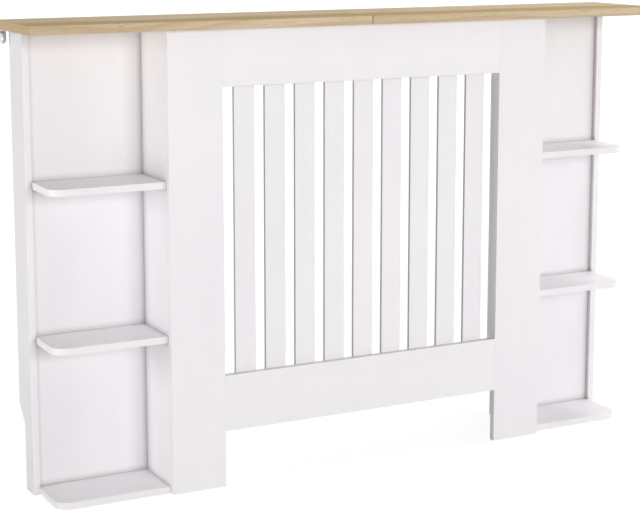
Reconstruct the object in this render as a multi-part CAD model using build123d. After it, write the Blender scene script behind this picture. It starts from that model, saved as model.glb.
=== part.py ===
"""Radiator cover cabinet with three open corner shelves at each end.

A white slatted front frame stands between two shallow bays of shelves, under a top of two
oak-faced boards that meet in the middle.  Millimetres.  The origin is on the floor, under the
middle of the overall box.  +X is to the right, +Y goes into the wall and +Z is up.
"""
from build123d import *
from math import ceil
import os

# Overall box
WIDTH = 1230.0
DEPTH = 195.0
HEIGHT = 810.0

# Top boards
TOP_THICKNESS = 15.0
SIDE_OVERHANG = 26.0
FRONT_OVERHANG = 20.0
TOP_ARRIS = 0.5

# White boards
FRAME_THICKNESS = 12.0
SIDE_THICKNESS = 12.0
BAY_THICKNESS = 12.0
SHELF_THICKNESS = 12.0
ARRIS = 0.4

# Front frame, seen from the front
STILE_WIDTH = 99.0
TOP_RAIL_HEIGHT = 98.0
LOWER_RAIL_HEIGHT = 99.0
LEG_HEIGHT = 99.0

# Slats, which lie behind the rails
SLAT_WIDTH = 38.5
SLAT_GAP = 19.5
SLAT_THICKNESS = 6.0
SLAT_LAP = 25.0

# Square battens behind the frame
BATTEN = 16.0
BATTEN_RISE = 20.0
LONGEST_SCREW_SPACING = 320.0

# Shelf bays.  Only the outer sides and the top reach the wall.
BAY_WIDTH = 201.0
OUTER_SIDE_DEPTH = 66.0
INNER_SIDE_OFF_WALL = 20.0
BAY_SETBACK = 10.0
SHELF_COUNT = 3
SHELF_CORNER_RADIUS = 25.0

# Cut for the skirting board
SKIRTING_DEPTH = 28.0
SKIRTING_HEIGHT = 118.0
SKIRTING_SLOPE = 29.0

# Plate under the joint of the top boards
PLATE_WIDTH = 120.0
PLATE_DEPTH = 80.0
PLATE_THICKNESS = 2.0
PLATE_CORNER_RADIUS = 6.0
PLATE_SCREW_INSET = 15.0

# Angle brackets that hold the top to the wall
BRACKET_WIDTH = 15.0
BRACKET_DROP = 25.5
BRACKET_REACH = 25.0
BRACKET_THICKNESS = 2.0
BRACKET_HOLE_RADIUS = 2.5
BRACKET_HOLE_EDGE = 8.0

# Beech dowels
DOWEL_RADIUS = 3.0
DOWEL_LENGTH = 28.0
DOWEL_FACE_DEPTH = 8.0
DOWEL_CHAMFER = 0.75
DOWELS_PER_RAIL_END = 2
SHELF_DOWEL_INSET = 27.0
TOP_DOWEL_SPACING = 300.0

# Cams and their bolts, which pull the panels up to the top
CAM_RADIUS = 6.0
CAM_DEPTH = 9.5
CAM_DROP = 24.0
CAM_SLOT_RADIUS = 3.5
CAM_KEY_WIDTH = 1.6
CAM_KEY_DEPTH = 2.0
CAM_BOLT_RADIUS = 2.0
CAM_HEAD_RADIUS = 2.8
CAM_HEAD_HEIGHT = 3.0
CAM_THREAD_RADIUS = 2.8
CAM_THREAD_LENGTH = 10.0
CAM_FRONT_INSET = 45.0
CAM_BACK_INSET = 22.5

# Screws: shank radius, head radius and length
SLAT_SCREW = (1.5, 3.0, 14.0)
BATTEN_SCREW = (1.75, 3.5, 25.0)
PANEL_SCREW = (2.0, 4.0, 40.0)
PLATE_SCREW = (2.0, 4.0, 13.0)
PAN_HEAD_HEIGHT = 2.0
RECESS_LENGTH = 2.7
RECESS_WIDTH = 0.9
RECESS_DEPTH = 1.0
SHELF_SCREW_INSET = 50.0
CLEAT_SCREW_INSET = 60.0
CLEAT_SCREW_OFFSET = 40.0

# Dowels or screws along each upright edge of a panel
FIXINGS_PER_EDGE = 4

# Clearances, and how far a cutting shape runs past the face that it opens
HOLE_CLEARANCE = 0.1
END_CLEARANCE = 0.3
JOINT_GAP = 0.3
RUN_PAST = 1.0

# Planes worked out from the sizes above
half_width = WIDTH / 2
back_y = DEPTH / 2
front_y = FRONT_OVERHANG - back_y
frame_back_y = front_y + FRAME_THICKNESS
frame_mid_y = front_y + FRAME_THICKNESS / 2
slat_back_y = frame_back_y + SLAT_THICKNESS
batten_back_y = frame_back_y + BATTEN
under_top = HEIGHT - TOP_THICKNESS
outer_x = half_width - SIDE_OVERHANG
bay_outer_x = outer_x - SIDE_THICKNESS
centre_x = bay_outer_x - BAY_WIDTH
inner_x = centre_x - SIDE_THICKNESS
opening_x = centre_x - STILE_WIDTH
opening_low = LEG_HEIGHT + LOWER_RAIL_HEIGHT
opening_high = under_top - TOP_RAIL_HEIGHT
outer_side_y = back_y - OUTER_SIDE_DEPTH
inner_side_back_y = back_y - INNER_SIDE_OFF_WALL
bay_y = outer_side_y + BAY_SETBACK
bay_back_y = bay_y + BAY_THICKNESS
bay_mid_y = bay_y + BAY_THICKNESS / 2
shelf_rise = (under_top - SHELF_COUNT * SHELF_THICKNESS) / SHELF_COUNT + SHELF_THICKNESS
shelf_floors = [number * shelf_rise for number in range(SHELF_COUNT)]
inner_side_mid_x = (inner_x + centre_x) / 2
outer_side_mid_x = (bay_outer_x + outer_x) / 2


def block(x, y, z):
    """A box between the low and the high value given for each axis."""
    sizes = [high - low for low, high in (x, y, z)]
    return Pos(x[0], y[0], z[0]) * Box(*sizes, align=(Align.MIN, Align.MIN, Align.MIN))


def board(x, y, z, arris=ARRIS):
    """A board with its sharp edges taken off."""
    solid = block(x, y, z)
    return fillet(solid.edges(), arris)


def spread(low, high, count):
    """Evenly spaced places between two ends, with half a space left at each end."""
    step = (high - low) / count
    return [low + step * (number + 0.5) for number in range(count)]


def turned(axis):
    """Turns local +Z to one of the directions +X, -X, +Y, -Y, +Z and -Z."""
    turns = {
        "+X": Rot(0, 90, 0),
        "-X": Rot(0, -90, 0),
        "+Y": Rot(-90, 0, 0),
        "-Y": Rot(90, 0, 0),
        "+Z": Rot(0, 0, 0),
        "-Z": Rot(180, 0, 0),
    }
    return turns[axis]


def placed(shape, places, axis):
    """Copies of a shape whose local +Z points along the axis, one at each place."""
    return [Pos(*place) * turned(axis) * shape for place in places]


def cut(solid, tools):
    """The solid with each of the tools cut out of it."""
    for tool in tools:
        solid = solid - tool
    return solid


def reflect(shapes):
    """The mirror images of right-hand shapes, on the left."""
    return [mirror(shape, about=Plane.YZ) for shape in shapes]


def group(shapes):
    """Separate solids that are kept together as one sub-part."""
    return Compound(children=[shape.solid() for shape in shapes])


# Fasteners lie along local +Z.  Each has its origin where its two boards meet or, for a
# screw, in the face that its head is in.

def rod(radius, low, high):
    """A round bar along local Z."""
    bar = Cylinder(radius, high - low, align=(Align.CENTER, Align.CENTER, Align.MIN))
    return Pos(0, 0, low) * bar


def dowel():
    """A dowel, its short end in a board's face below local Z = 0, the rest in an edge above."""
    pin = rod(DOWEL_RADIUS, -DOWEL_FACE_DEPTH, DOWEL_LENGTH - DOWEL_FACE_DEPTH)
    return chamfer(pin.edges(), DOWEL_CHAMFER)


def dowel_hole():
    """The hole for a dowel, in both boards."""
    return rod(
        DOWEL_RADIUS + HOLE_CLEARANCE,
        -DOWEL_FACE_DEPTH - END_CLEARANCE,
        DOWEL_LENGTH - DOWEL_FACE_DEPTH + END_CLEARANCE,
    )


def cross_recess():
    """The cross in a screw's head, cut in from local Z = 0."""
    length = (-RECESS_LENGTH / 2, RECESS_LENGTH / 2)
    bar = block(length, (-RECESS_WIDTH / 2, RECESS_WIDTH / 2), (0, RECESS_DEPTH))
    return bar + Rot(0, 0, 90) * bar


def countersunk(size, clearance=0.0):
    """A countersunk screw, or its hole when a clearance is given."""
    shank, head, length = size
    sink = head - shank
    bar = rod(shank + clearance, 0, length + clearance)
    cone = Cone(head + clearance, shank + clearance, sink,
                align=(Align.CENTER, Align.CENTER, Align.MIN))
    return bar + cone


def countersunk_screw(size):
    """A countersunk screw with a cross recess, its head flush with local Z = 0."""
    return countersunk(size) - cross_recess()


def countersunk_hole(size):
    """The hole for a countersunk screw, with its countersink."""
    return countersunk(size, HOLE_CLEARANCE)


def pan_screw(size):
    """A pan-headed screw, its head under local Z = 0."""
    shank, head, length = size
    screw = rod(shank, 0, length) + rod(head, -PAN_HEAD_HEIGHT, 0)
    return screw - Pos(0, 0, -PAN_HEAD_HEIGHT) * cross_recess()


def pan_hole(size):
    """The hole for a pan-headed screw's shank."""
    shank, _, length = size
    return rod(shank + HOLE_CLEARANCE, 0, length + HOLE_CLEARANCE)


def cam_bolt():
    """A bolt screwed up into the top from local Z = 0, its head down at the cam's middle."""
    thread = rod(CAM_THREAD_RADIUS, 0, CAM_THREAD_LENGTH)
    shaft = rod(CAM_BOLT_RADIUS, -CAM_DROP, 0)
    head = rod(CAM_HEAD_RADIUS, -CAM_DROP - CAM_HEAD_HEIGHT / 2, -CAM_DROP + CAM_HEAD_HEIGHT / 2)
    return thread + shaft + head


def cam_bolt_hole():
    """The hole for a cam bolt, up into the top and down into the panel's edge."""
    thread = rod(CAM_THREAD_RADIUS + HOLE_CLEARANCE, 0, CAM_THREAD_LENGTH + END_CLEARANCE)
    return thread + rod(CAM_SLOT_RADIUS, -CAM_DROP, 0)


def cam():
    """A cam with its mouth towards local -X and its keyed face at local Z = 0."""
    body = rod(CAM_RADIUS, 0, CAM_DEPTH)
    reach = CAM_RADIUS + RUN_PAST
    mouth = block(
        (-reach, CAM_HEAD_HEIGHT / 2 + HOLE_CLEARANCE),
        (-CAM_SLOT_RADIUS, CAM_SLOT_RADIUS),
        (CAM_KEY_DEPTH + HOLE_CLEARANCE, CAM_DEPTH + RUN_PAST),
    )
    key = block(
        (-reach, reach), (-CAM_KEY_WIDTH / 2, CAM_KEY_WIDTH / 2), (-RUN_PAST, CAM_KEY_DEPTH)
    )
    return body - mouth - key


def cam_pocket():
    """The pocket for a cam, sunk from the panel's face at local Z = 0."""
    return rod(CAM_RADIUS + HOLE_CLEARANCE, 0, CAM_DEPTH + END_CLEARANCE)


# Places of the right-hand fasteners.  Only the slats' screws are listed for both sides.

panel_edge_z = spread(0, under_top, FIXINGS_PER_EDGE)

lower_rail_dowel_z = spread(LEG_HEIGHT, opening_low, DOWELS_PER_RAIL_END)
top_rail_dowel_z = spread(opening_high, under_top, DOWELS_PER_RAIL_END)
rail_dowels = [(opening_x, frame_mid_y, z) for z in lower_rail_dowel_z + top_rail_dowel_z]

stile_dowels = [(inner_side_mid_x, frame_back_y, z) for z in panel_edge_z]

bay_dowels = [(bay_outer_x, bay_mid_y, z) for z in panel_edge_z]

shelf_mid_z = [floor + SHELF_THICKNESS / 2 for floor in shelf_floors]
shelf_dowel_y = [frame_back_y + SHELF_DOWEL_INSET, bay_y - SHELF_DOWEL_INSET]
shelf_dowels = [(centre_x, y, z) for z in shelf_mid_z for y in shelf_dowel_y]

shelf_screw_x = [centre_x + SHELF_SCREW_INSET, bay_outer_x - SHELF_SCREW_INSET]
shelf_screws = [(x, bay_back_y, z) for z in shelf_mid_z for x in shelf_screw_x]

panel_screws = [(inner_x, bay_mid_y, z) for z in panel_edge_z]

inner_side_mid_y = (frame_back_y + inner_side_back_y) / 2
outer_side_mid_y = (outer_side_y + back_y) / 2
stile_mid_x = (opening_x + centre_x) / 2
top_dowels = [
    (TOP_DOWEL_SPACING / 2, frame_mid_y, under_top),
    (stile_mid_x, frame_mid_y, under_top),
    (inner_side_mid_x, inner_side_mid_y, under_top),
    (outer_side_mid_x, outer_side_mid_y, under_top),
]

side_cam_y = [frame_back_y + CAM_FRONT_INSET, inner_side_back_y - CAM_BACK_INSET]
side_cam_bolts = [(inner_side_mid_x, y, under_top) for y in side_cam_y]
bay_cam_x = (centre_x + bay_outer_x) / 2
bay_cam_bolts = [(bay_cam_x, bay_mid_y, under_top)]
side_cams = [(inner_x, y, under_top - CAM_DROP) for y in side_cam_y]
bay_cams = [(bay_cam_x, bay_back_y, under_top - CAM_DROP)]
mouth_up = Rot(0, 0, -90)  # turns the mouth of a cam that faces the wall from one side to the top

cleat_low = under_top - BATTEN
cleat_mid_y = frame_back_y + BATTEN / 2
cleat_mid_z = cleat_low + BATTEN / 2
batten_low = LEG_HEIGHT + BATTEN_RISE
batten_mid_x = opening_x + BATTEN / 2
cleat_up_x = [CLEAT_SCREW_INSET, inner_x - CLEAT_SCREW_INSET]
cleat_up_screws = [(x, cleat_mid_y, cleat_low) for x in cleat_up_x]
cleat_rail_screws = [(x - CLEAT_SCREW_OFFSET, batten_back_y, cleat_mid_z) for x in cleat_up_x]
batten_screw_count = ceil((cleat_low - batten_low) / LONGEST_SCREW_SPACING)
batten_screw_z = spread(batten_low, cleat_low, batten_screw_count)
batten_screws = [(batten_mid_x, batten_back_y, z) for z in batten_screw_z]

slat_pitch = SLAT_WIDTH + SLAT_GAP
slat_count = int((2 * opening_x - SLAT_GAP) / slat_pitch)
slat_x = [(number - (slat_count - 1) / 2) * slat_pitch for number in range(slat_count)]
slat_low = opening_low - SLAT_LAP
slat_high = opening_high + SLAT_LAP
slat_screw_z = [opening_low - SLAT_LAP / 2, opening_high + SLAT_LAP / 2]
slat_screws = [(x, slat_back_y, z) for x in slat_x for z in slat_screw_z]

plate_y = (batten_back_y + back_y) / 2
plate_low = under_top - PLATE_THICKNESS
plate_screw_x = PLATE_WIDTH / 2 - PLATE_SCREW_INSET
plate_screw_reach = PLATE_DEPTH / 2 - PLATE_SCREW_INSET
plate_screws = [
    (plate_screw_x, plate_y + side * plate_screw_reach, plate_low) for side in (-1, 1)
]

bracket_x = (outer_x + half_width) / 2
bracket_low = under_top - BRACKET_DROP
bracket_hole_z = bracket_low + BRACKET_HOLE_EDGE
bracket_hole_y = back_y - BRACKET_REACH + BRACKET_HOLE_EDGE
bracket_screws = [(bracket_x, bracket_hole_y, plate_low)]

# Holes, each cut from every board that it passes through.
rail_holes = placed(dowel_hole(), rail_dowels, "-X")
stile_holes = placed(dowel_hole(), stile_dowels, "+Y")
bay_holes = placed(dowel_hole(), bay_dowels, "-X")
shelf_holes = placed(dowel_hole(), shelf_dowels, "+X")
shelf_screw_holes = placed(countersunk_hole(PANEL_SCREW), shelf_screws, "-Y")
panel_screw_holes = placed(countersunk_hole(PANEL_SCREW), panel_screws, "+X")
top_holes = placed(dowel_hole(), top_dowels, "-Z")
side_bolt_holes = placed(cam_bolt_hole(), side_cam_bolts, "+Z")
bay_bolt_holes = placed(cam_bolt_hole(), bay_cam_bolts, "+Z")
side_pockets = placed(cam_pocket(), side_cams, "+X")
bay_pockets = placed(cam_pocket(), bay_cams, "-Y")
cleat_up_holes = placed(countersunk_hole(BATTEN_SCREW), cleat_up_screws, "+Z")
cleat_rail_holes = placed(countersunk_hole(BATTEN_SCREW), cleat_rail_screws, "-Y")
batten_holes = placed(countersunk_hole(BATTEN_SCREW), batten_screws, "-Y")
slat_holes = placed(countersunk_hole(SLAT_SCREW), slat_screws, "-Y")
plate_holes = placed(pan_hole(PLATE_SCREW), plate_screws, "+Z")
bracket_holes = placed(pan_hole(PLATE_SCREW), bracket_screws, "+Z")


def top_board():
    """The right-hand oak-faced board, from the middle joint to past the outer side."""
    solid = board(
        (JOINT_GAP / 2, half_width), (-back_y, back_y), (under_top, HEIGHT), TOP_ARRIS
    )
    holes = top_holes + side_bolt_holes + bay_bolt_holes + cleat_up_holes
    return cut(solid, holes + plate_holes + bracket_holes)


def stile():
    """The right-hand upright of the frame, whose foot is a leg."""
    solid = board((opening_x, centre_x), (front_y, frame_back_y), (0, under_top))
    return cut(solid, rail_holes + stile_holes + top_holes + batten_holes)


def rail(low, high):
    """A rail between the stiles, with its dowel holes and the slats' screw holes."""
    solid = board((-opening_x, opening_x), (front_y, frame_back_y), (low, high))
    right = rail_holes + top_holes + cleat_rail_holes
    return cut(solid, right + reflect(right) + slat_holes)


def slat(x):
    """A slat that laps behind both rails."""
    solid = board(
        (x - SLAT_WIDTH / 2, x + SLAT_WIDTH / 2), (frame_back_y, slat_back_y), (slat_low, slat_high)
    )
    near = [hole for hole, place in zip(slat_holes, slat_screws) if place[0] == x]
    return cut(solid, near)


def upright_batten():
    """The right-hand batten behind the stile, flush with the opening."""
    solid = board(
        (opening_x, opening_x + BATTEN), (frame_back_y, batten_back_y), (batten_low, cleat_low)
    )
    return cut(solid, batten_holes)


def top_cleat():
    """The cross batten under the top, between the inner sides."""
    solid = board((-inner_x, inner_x), (frame_back_y, batten_back_y), (cleat_low, under_top))
    right = cleat_up_holes + cleat_rail_holes
    return cut(solid, right + reflect(right))


def skirting_cut():
    """The space that a skirting board takes at the foot of each side, with its sloping top."""
    notch_y = back_y - SKIRTING_DEPTH
    past = back_y + RUN_PAST
    slope_per_mm = SKIRTING_SLOPE / SKIRTING_DEPTH
    outline = Polyline(
        (notch_y, -RUN_PAST),
        (notch_y, SKIRTING_HEIGHT),
        (past, SKIRTING_HEIGHT + slope_per_mm * (past - notch_y)),
        (past, -RUN_PAST),
        close=True,
    )
    section = make_face(Plane.YZ * outline)
    return extrude(section, amount=half_width, dir=(1, 0, 0))


def side_board(x, y):
    """A side from the floor to the top, with its edges taken off after the skirting cut."""
    solid = block(x, y, (0, under_top)) - skirting_cut()
    return fillet(solid.edges(), ARRIS)


def inner_side():
    """The right-hand side of the radiator space."""
    solid = side_board((inner_x, centre_x), (frame_back_y, inner_side_back_y))
    dowels = stile_holes + shelf_holes + top_holes
    return cut(solid, dowels + panel_screw_holes + side_bolt_holes + side_pockets)


def outer_side():
    """The right-hand shallow outer side."""
    solid = side_board((bay_outer_x, outer_x), (outer_side_y, back_y))
    return cut(solid, bay_holes + top_holes)


def bay_panel():
    """The upright panel at the back of the right-hand shelves."""
    solid = board((centre_x, bay_outer_x), (bay_y, bay_back_y), (0, under_top))
    screws = panel_screw_holes + shelf_screw_holes
    return cut(solid, screws + bay_holes + bay_bolt_holes + bay_pockets)


def shelf(floor):
    """A right-hand shelf with its outer front corner rounded."""
    solid = block((centre_x, bay_outer_x), (frame_back_y, bay_y), (floor, floor + SHELF_THICKNESS))
    upright = solid.edges().filter_by(Axis.Z)
    corner = upright.sort_by(lambda edge: edge.center().X - edge.center().Y)[-1]
    solid = fillet(corner, SHELF_CORNER_RADIUS)
    solid = fillet(solid.edges(), ARRIS)
    return cut(solid, shelf_holes + shelf_screw_holes)


def joining_plate():
    """The steel plate under the joint of the two top boards."""
    solid = block(
        (-PLATE_WIDTH / 2, PLATE_WIDTH / 2),
        (plate_y - PLATE_DEPTH / 2, plate_y + PLATE_DEPTH / 2),
        (plate_low, under_top),
    )
    solid = fillet(solid.edges().filter_by(Axis.Z), PLATE_CORNER_RADIUS)
    return cut(solid, plate_holes + reflect(plate_holes))


def wall_bracket():
    """The right-hand angle bracket, one leg under the top and one against the wall."""
    half = BRACKET_WIDTH / 2
    wall_leg = block(
        (bracket_x - half, bracket_x + half),
        (back_y - BRACKET_THICKNESS, back_y),
        (bracket_low, under_top),
    )
    low_corners = wall_leg.edges().filter_by(Axis.Y).sort_by(Axis.Z)[:2]
    wall_leg = fillet(low_corners, half - ARRIS)
    top_leg = block(
        (bracket_x - half, bracket_x + half),
        (back_y - BRACKET_REACH, back_y),
        (under_top - BRACKET_THICKNESS, under_top),
    )
    front_corners = top_leg.edges().filter_by(Axis.Z).sort_by(Axis.Y)[:2]
    top_leg = fillet(front_corners, half - ARRIS)
    wall_hole = Pos(bracket_x, back_y, bracket_hole_z) * turned("-Y") * rod(
        BRACKET_HOLE_RADIUS, -RUN_PAST, BRACKET_THICKNESS + RUN_PAST
    )
    return cut(wall_leg + top_leg, [wall_hole] + bracket_holes)


def write(name, shape):
    """Writes one sub-part."""
    export_step(shape, f"parts/{name}.step")


def write_pair(name, solid):
    """Writes a right-hand sub-part and its mirror image on the left."""
    write(f"{name}_right", solid)
    write(f"{name}_left", mirror(solid, about=Plane.YZ))


def write_fasteners(name, *right_sets):
    """Writes a group of identical fasteners, on both sides, as one sub-part."""
    right = [shape for shapes in right_sets for shape in shapes]
    write(name, group(right + reflect(right)))


os.makedirs("parts", exist_ok=True)

write_pair("top_board", top_board())
write_pair("stile", stile())
write("top_rail", rail(opening_high, under_top))
write("lower_rail", rail(LEG_HEIGHT, opening_low))
for number, x in enumerate(slat_x, start=1):
    write(f"slat_{number}", slat(x))
write_pair("upright_batten", upright_batten())
write("top_cleat", top_cleat())
write_pair("inner_side", inner_side())
write_pair("outer_side", outer_side())
write_pair("bay_panel", bay_panel())
for number, floor in enumerate(shelf_floors, start=1):
    write_pair(f"shelf_{number}", shelf(floor))
write("joining_plate", joining_plate())
write_pair("wall_bracket", wall_bracket())

write_fasteners("rail_dowels", placed(dowel(), rail_dowels, "-X"))
write_fasteners("stile_dowels", placed(dowel(), stile_dowels, "+Y"))
write_fasteners("bay_dowels", placed(dowel(), bay_dowels, "-X"))
write_fasteners("shelf_dowels", placed(dowel(), shelf_dowels, "+X"))
write_fasteners("top_dowels", placed(dowel(), top_dowels, "-Z"))
write_fasteners("shelf_screws", placed(countersunk_screw(PANEL_SCREW), shelf_screws, "-Y"))
write_fasteners("panel_screws", placed(countersunk_screw(PANEL_SCREW), panel_screws, "+X"))
write_fasteners(
    "batten_screws",
    placed(countersunk_screw(BATTEN_SCREW), batten_screws, "-Y"),
    placed(countersunk_screw(BATTEN_SCREW), cleat_up_screws, "+Z"),
    placed(countersunk_screw(BATTEN_SCREW), cleat_rail_screws, "-Y"),
)
write("slat_screws", group(placed(countersunk_screw(SLAT_SCREW), slat_screws, "-Y")))
write_fasteners(
    "top_screws",
    placed(pan_screw(PLATE_SCREW), plate_screws, "+Z"),
    placed(pan_screw(PLATE_SCREW), bracket_screws, "+Z"),
)
write_fasteners("cam_bolts", placed(cam_bolt(), side_cam_bolts + bay_cam_bolts, "+Z"))
write_fasteners("cams", placed(cam(), side_cams, "+X"), placed(mouth_up * cam(), bay_cams, "-Y"))
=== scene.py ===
import math

import bmesh
import bpy
import numpy as np
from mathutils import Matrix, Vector


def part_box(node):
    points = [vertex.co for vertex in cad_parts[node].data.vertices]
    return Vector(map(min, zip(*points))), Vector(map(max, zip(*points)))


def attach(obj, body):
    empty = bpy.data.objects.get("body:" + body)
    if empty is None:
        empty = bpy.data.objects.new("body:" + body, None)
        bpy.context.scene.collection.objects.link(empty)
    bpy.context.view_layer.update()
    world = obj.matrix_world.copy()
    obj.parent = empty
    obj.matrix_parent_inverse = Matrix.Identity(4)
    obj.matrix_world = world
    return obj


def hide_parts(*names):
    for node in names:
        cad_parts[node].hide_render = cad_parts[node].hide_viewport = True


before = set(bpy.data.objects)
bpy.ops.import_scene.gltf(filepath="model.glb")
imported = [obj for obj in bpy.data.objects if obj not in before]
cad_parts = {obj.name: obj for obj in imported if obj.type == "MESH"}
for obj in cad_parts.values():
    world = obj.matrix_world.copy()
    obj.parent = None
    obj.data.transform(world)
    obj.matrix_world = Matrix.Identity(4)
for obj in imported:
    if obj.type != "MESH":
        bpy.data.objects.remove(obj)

# A white radiator cover with a slatted front, three open shelves at each end and an oak-faced top.
# Everything is in metres.  The sections follow the cover as it is put together, from the front frame
# to the floor that it stands on, and each holds its own sizes, colours, meshes and materials.
scene = bpy.context.scene
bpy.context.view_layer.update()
mm = 0.001


# ---- Front frame -------------------------------------------------------------------------------
# Two stiles and two rails of 12 mm fibreboard, dowelled and glued edge to edge.  The paint goes on
# with a foam roller, in several coats, so the film has a fine peel.  It is thinnest on the arrises.
# The sawn edges between the stiles and the rails' upper and lower edges are greyer: partly a thin
# coat, partly painted shade.

def shade(red, green, blue):
    """A colour read as 8-bit display values, turned by the sRGB curve into the linear colour that
    a shader takes."""
    display = np.array([red, green, blue]) / 255
    linear = np.where(display <= 0.04045, display / 12.92, ((display + 0.055) / 1.055) ** 2.4)
    return (*linear.tolist(), 1.0)


def add(tree, kind, inputs=None, **fields):
    """Adds a shader node, sets its fields, then sets its inputs or joins sockets to them."""
    made = tree.nodes.new(kind)
    for name, value in fields.items():
        setattr(made, name, value)
    for key, value in (inputs or {}).items():
        if isinstance(value, bpy.types.NodeSocket):
            tree.links.new(value, made.inputs[key])
        else:
            made.inputs[key].default_value = value
    return made


def effect(name, takes, gives):
    """Starts a shared effect: a node group with float, vector or colour sockets, by name."""
    tree = bpy.data.node_groups.new(name, "ShaderNodeTree")
    for in_out, sockets in (("INPUT", takes), ("OUTPUT", gives)):
        for label, kind in sockets.items():
            tree.interface.new_socket(label, in_out=in_out, socket_type=f"NodeSocket{kind}")
    taken = tree.nodes.new("NodeGroupInput").outputs
    given = tree.nodes.new("NodeGroupOutput")
    return tree, taken, given


def give(tree, given, **values):
    """Joins an effect's results to its outputs of the same names."""
    for label, socket in values.items():
        tree.links.new(socket, given.inputs[label])


def math_node(tree, operation, first, second=0.0, clamp=False):
    """The result of one operation on one or two values or sockets."""
    inputs = {0: first, 1: second}
    return add(tree, "ShaderNodeMath", inputs, operation=operation, use_clamp=clamp).outputs[0]


def scaled(tree, position, scale):
    """A position multiplied by its own scale on each axis."""
    inputs = {0: position, 1: scale}
    return add(tree, "ShaderNodeVectorMath", inputs, operation="MULTIPLY").outputs[0]


def weighed(tree, first, share, second, other_share):
    """The sum of two values, each times its own share."""
    return math_node(tree, "ADD", math_node(tree, "MULTIPLY", first, share),
                     math_node(tree, "MULTIPLY", second, other_share))


def noise(tree, position, scale, detail=2.0, roughness=0.5):
    """Smooth noise between 0 and 1 with about `scale` lumps to the metre.  The detail is the count
    of finer layers on it, and the roughness is how strongly each of them shows."""
    inputs = {"Vector": position, "Scale": scale, "Detail": detail, "Roughness": roughness}
    return add(tree, "ShaderNodeTexNoise", inputs).outputs["Fac"]


def ramp(tree, value, low, high, out_low=0.0, out_high=1.0):
    """A value eased from out_low at low to out_high at high."""
    inputs = {0: value, 1: low, 2: high, 3: out_low, 4: out_high}
    return add(tree, "ShaderNodeMapRange", inputs, interpolation_type="SMOOTHSTEP").outputs[0]


def blended(tree, share, first, second):
    """Two colours mixed by a share from 0 to 1.  Sockets 6, 7 and output 2 are the node's colours."""
    inputs = {0: share, 6: first, 7: second}
    return add(tree, "ShaderNodeMix", inputs, data_type="RGBA").outputs[2]


def paint_film():
    """Shared effect: a rolled paint film with a fine peel, a slow drift of tone and duller lanes."""
    takes = {"Position": "Vector", "Paint": "Color", "Drifted": "Color", "Peel": "Float"}
    gives = {"Colour": "Color", "Roughness": "Float", "Height": "Float"}
    tree, taken, given = effect("paint film", takes, gives)
    position = taken["Position"]
    drift = noise(tree, position, DRIFTS_PER_METRE, detail=3.0)
    lanes = noise(tree, scaled(tree, position, LANE_STRETCH), LANES_PER_METRE)
    fine = noise(tree, position, taken["Peel"], detail=3.0, roughness=0.55)
    tone = weighed(tree, drift, DRIFT_TONE, lanes, LANE_TONE)
    colour = blended(tree, ramp(tree, tone, *TONE_SPAN), taken["Paint"], taken["Drifted"])
    duller = weighed(tree, lanes, LANE_DULLS, fine, PEEL_DULLS)
    roughness = math_node(tree, "ADD", duller, SATIN)
    give(tree, given, Colour=colour, Roughness=roughness, Height=fine)
    return tree


def eased_edge():
    """Shared effect: 1 on sharp edges and 0 on flats, from how far the surface turns nearby."""
    tree, taken, given = effect("eased edge", {"Reach": "Float"}, {"Edge": "Float"})
    bevel = add(tree, "ShaderNodeBevel", {"Radius": taken["Reach"]}, samples=EDGE_SAMPLES)
    geometry = add(tree, "ShaderNodeNewGeometry")
    inputs = {0: bevel.outputs[0], 1: geometry.outputs["Normal"]}
    facing = add(tree, "ShaderNodeVectorMath", inputs, operation="DOT_PRODUCT").outputs["Value"]
    give(tree, given, Edge=ramp(tree, facing, FLAT, SHARP))
    return tree


def corner_shade():
    """Shared effect: painted shade in inside corners, more the deeper the surface lies in one and 0
    beyond reach of it, from how much of the view over it is closed off.  The corner with the floor is
    left out."""
    takes = {"Position": "Vector", "Reach": "Float"}
    tree, taken, given = effect("inside corner", takes, {"Corner": "Float"})
    inputs = {"Distance": taken["Reach"]}
    view = add(tree, "ShaderNodeAmbientOcclusion", inputs, samples=VIEW_SAMPLES).outputs["AO"]
    height = add(tree, "ShaderNodeSeparateXYZ", {0: taken["Position"]}).outputs["Z"]
    over_floor = ramp(tree, height, FOOT_LOW, FOOT_HIGH)
    closed = math_node(tree, "SUBTRACT", 1.0, view, clamp=True)
    give(tree, given, Corner=math_node(tree, "MULTIPLY", closed, over_floor))
    return tree


DRIFTS_PER_METRE = 3.5
LANES_PER_METRE = 28.0
LANE_STRETCH = (1.0, 1.0, 0.12)
DRIFT_TONE = 0.7
LANE_TONE = 0.3
TONE_SPAN = (0.35, 0.65)
SATIN = 0.33
LANE_DULLS = 0.14
PEEL_DULLS = 0.05
EDGE_SAMPLES = 4
FLAT = 0.995
SHARP = 0.80
VIEW_SAMPLES = 16
FOOT_LOW = 9 * mm
FOOT_HIGH = 12 * mm
film = paint_film()
edge = eased_edge()
corner = corner_shade()
PAINT = shade(241, 238, 240)
PAINT_DRIFTED = shade(238, 235, 238)
THIN_PAINT = shade(222, 218, 216)
# The grey on faces that look along an axis: partly raw board under a thin coat, partly painted shade.
RAW_BOARD_AND_SIDE_SHADE = shade(160, 156, 154)
# Painted shade: the grey that the inside corners are darkened towards, and how far it reaches.
PAINTED_CORNER_SHADE = shade(150, 147, 149)
CORNER_SHADE_REACH = 11 * mm
PEEL_PER_METRE = 700.0
PEEL_HEIGHT = 0.012 * mm
EDGE_REACH = 1.2 * mm
EDGE_SHOWS = 0.5
LOOKS_FROM = 0.6
LOOKS_TO = 0.8


def object_position(tree):
    """The Object coordinates of the surface."""
    return add(tree, "ShaderNodeTexCoord").outputs["Object"]


def surface(name):
    """A new material, with its node tree and its Principled BSDF."""
    material = bpy.data.materials.new(name)
    material.use_nodes = True
    return material, material.node_tree, material.node_tree.nodes["Principled BSDF"]


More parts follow.
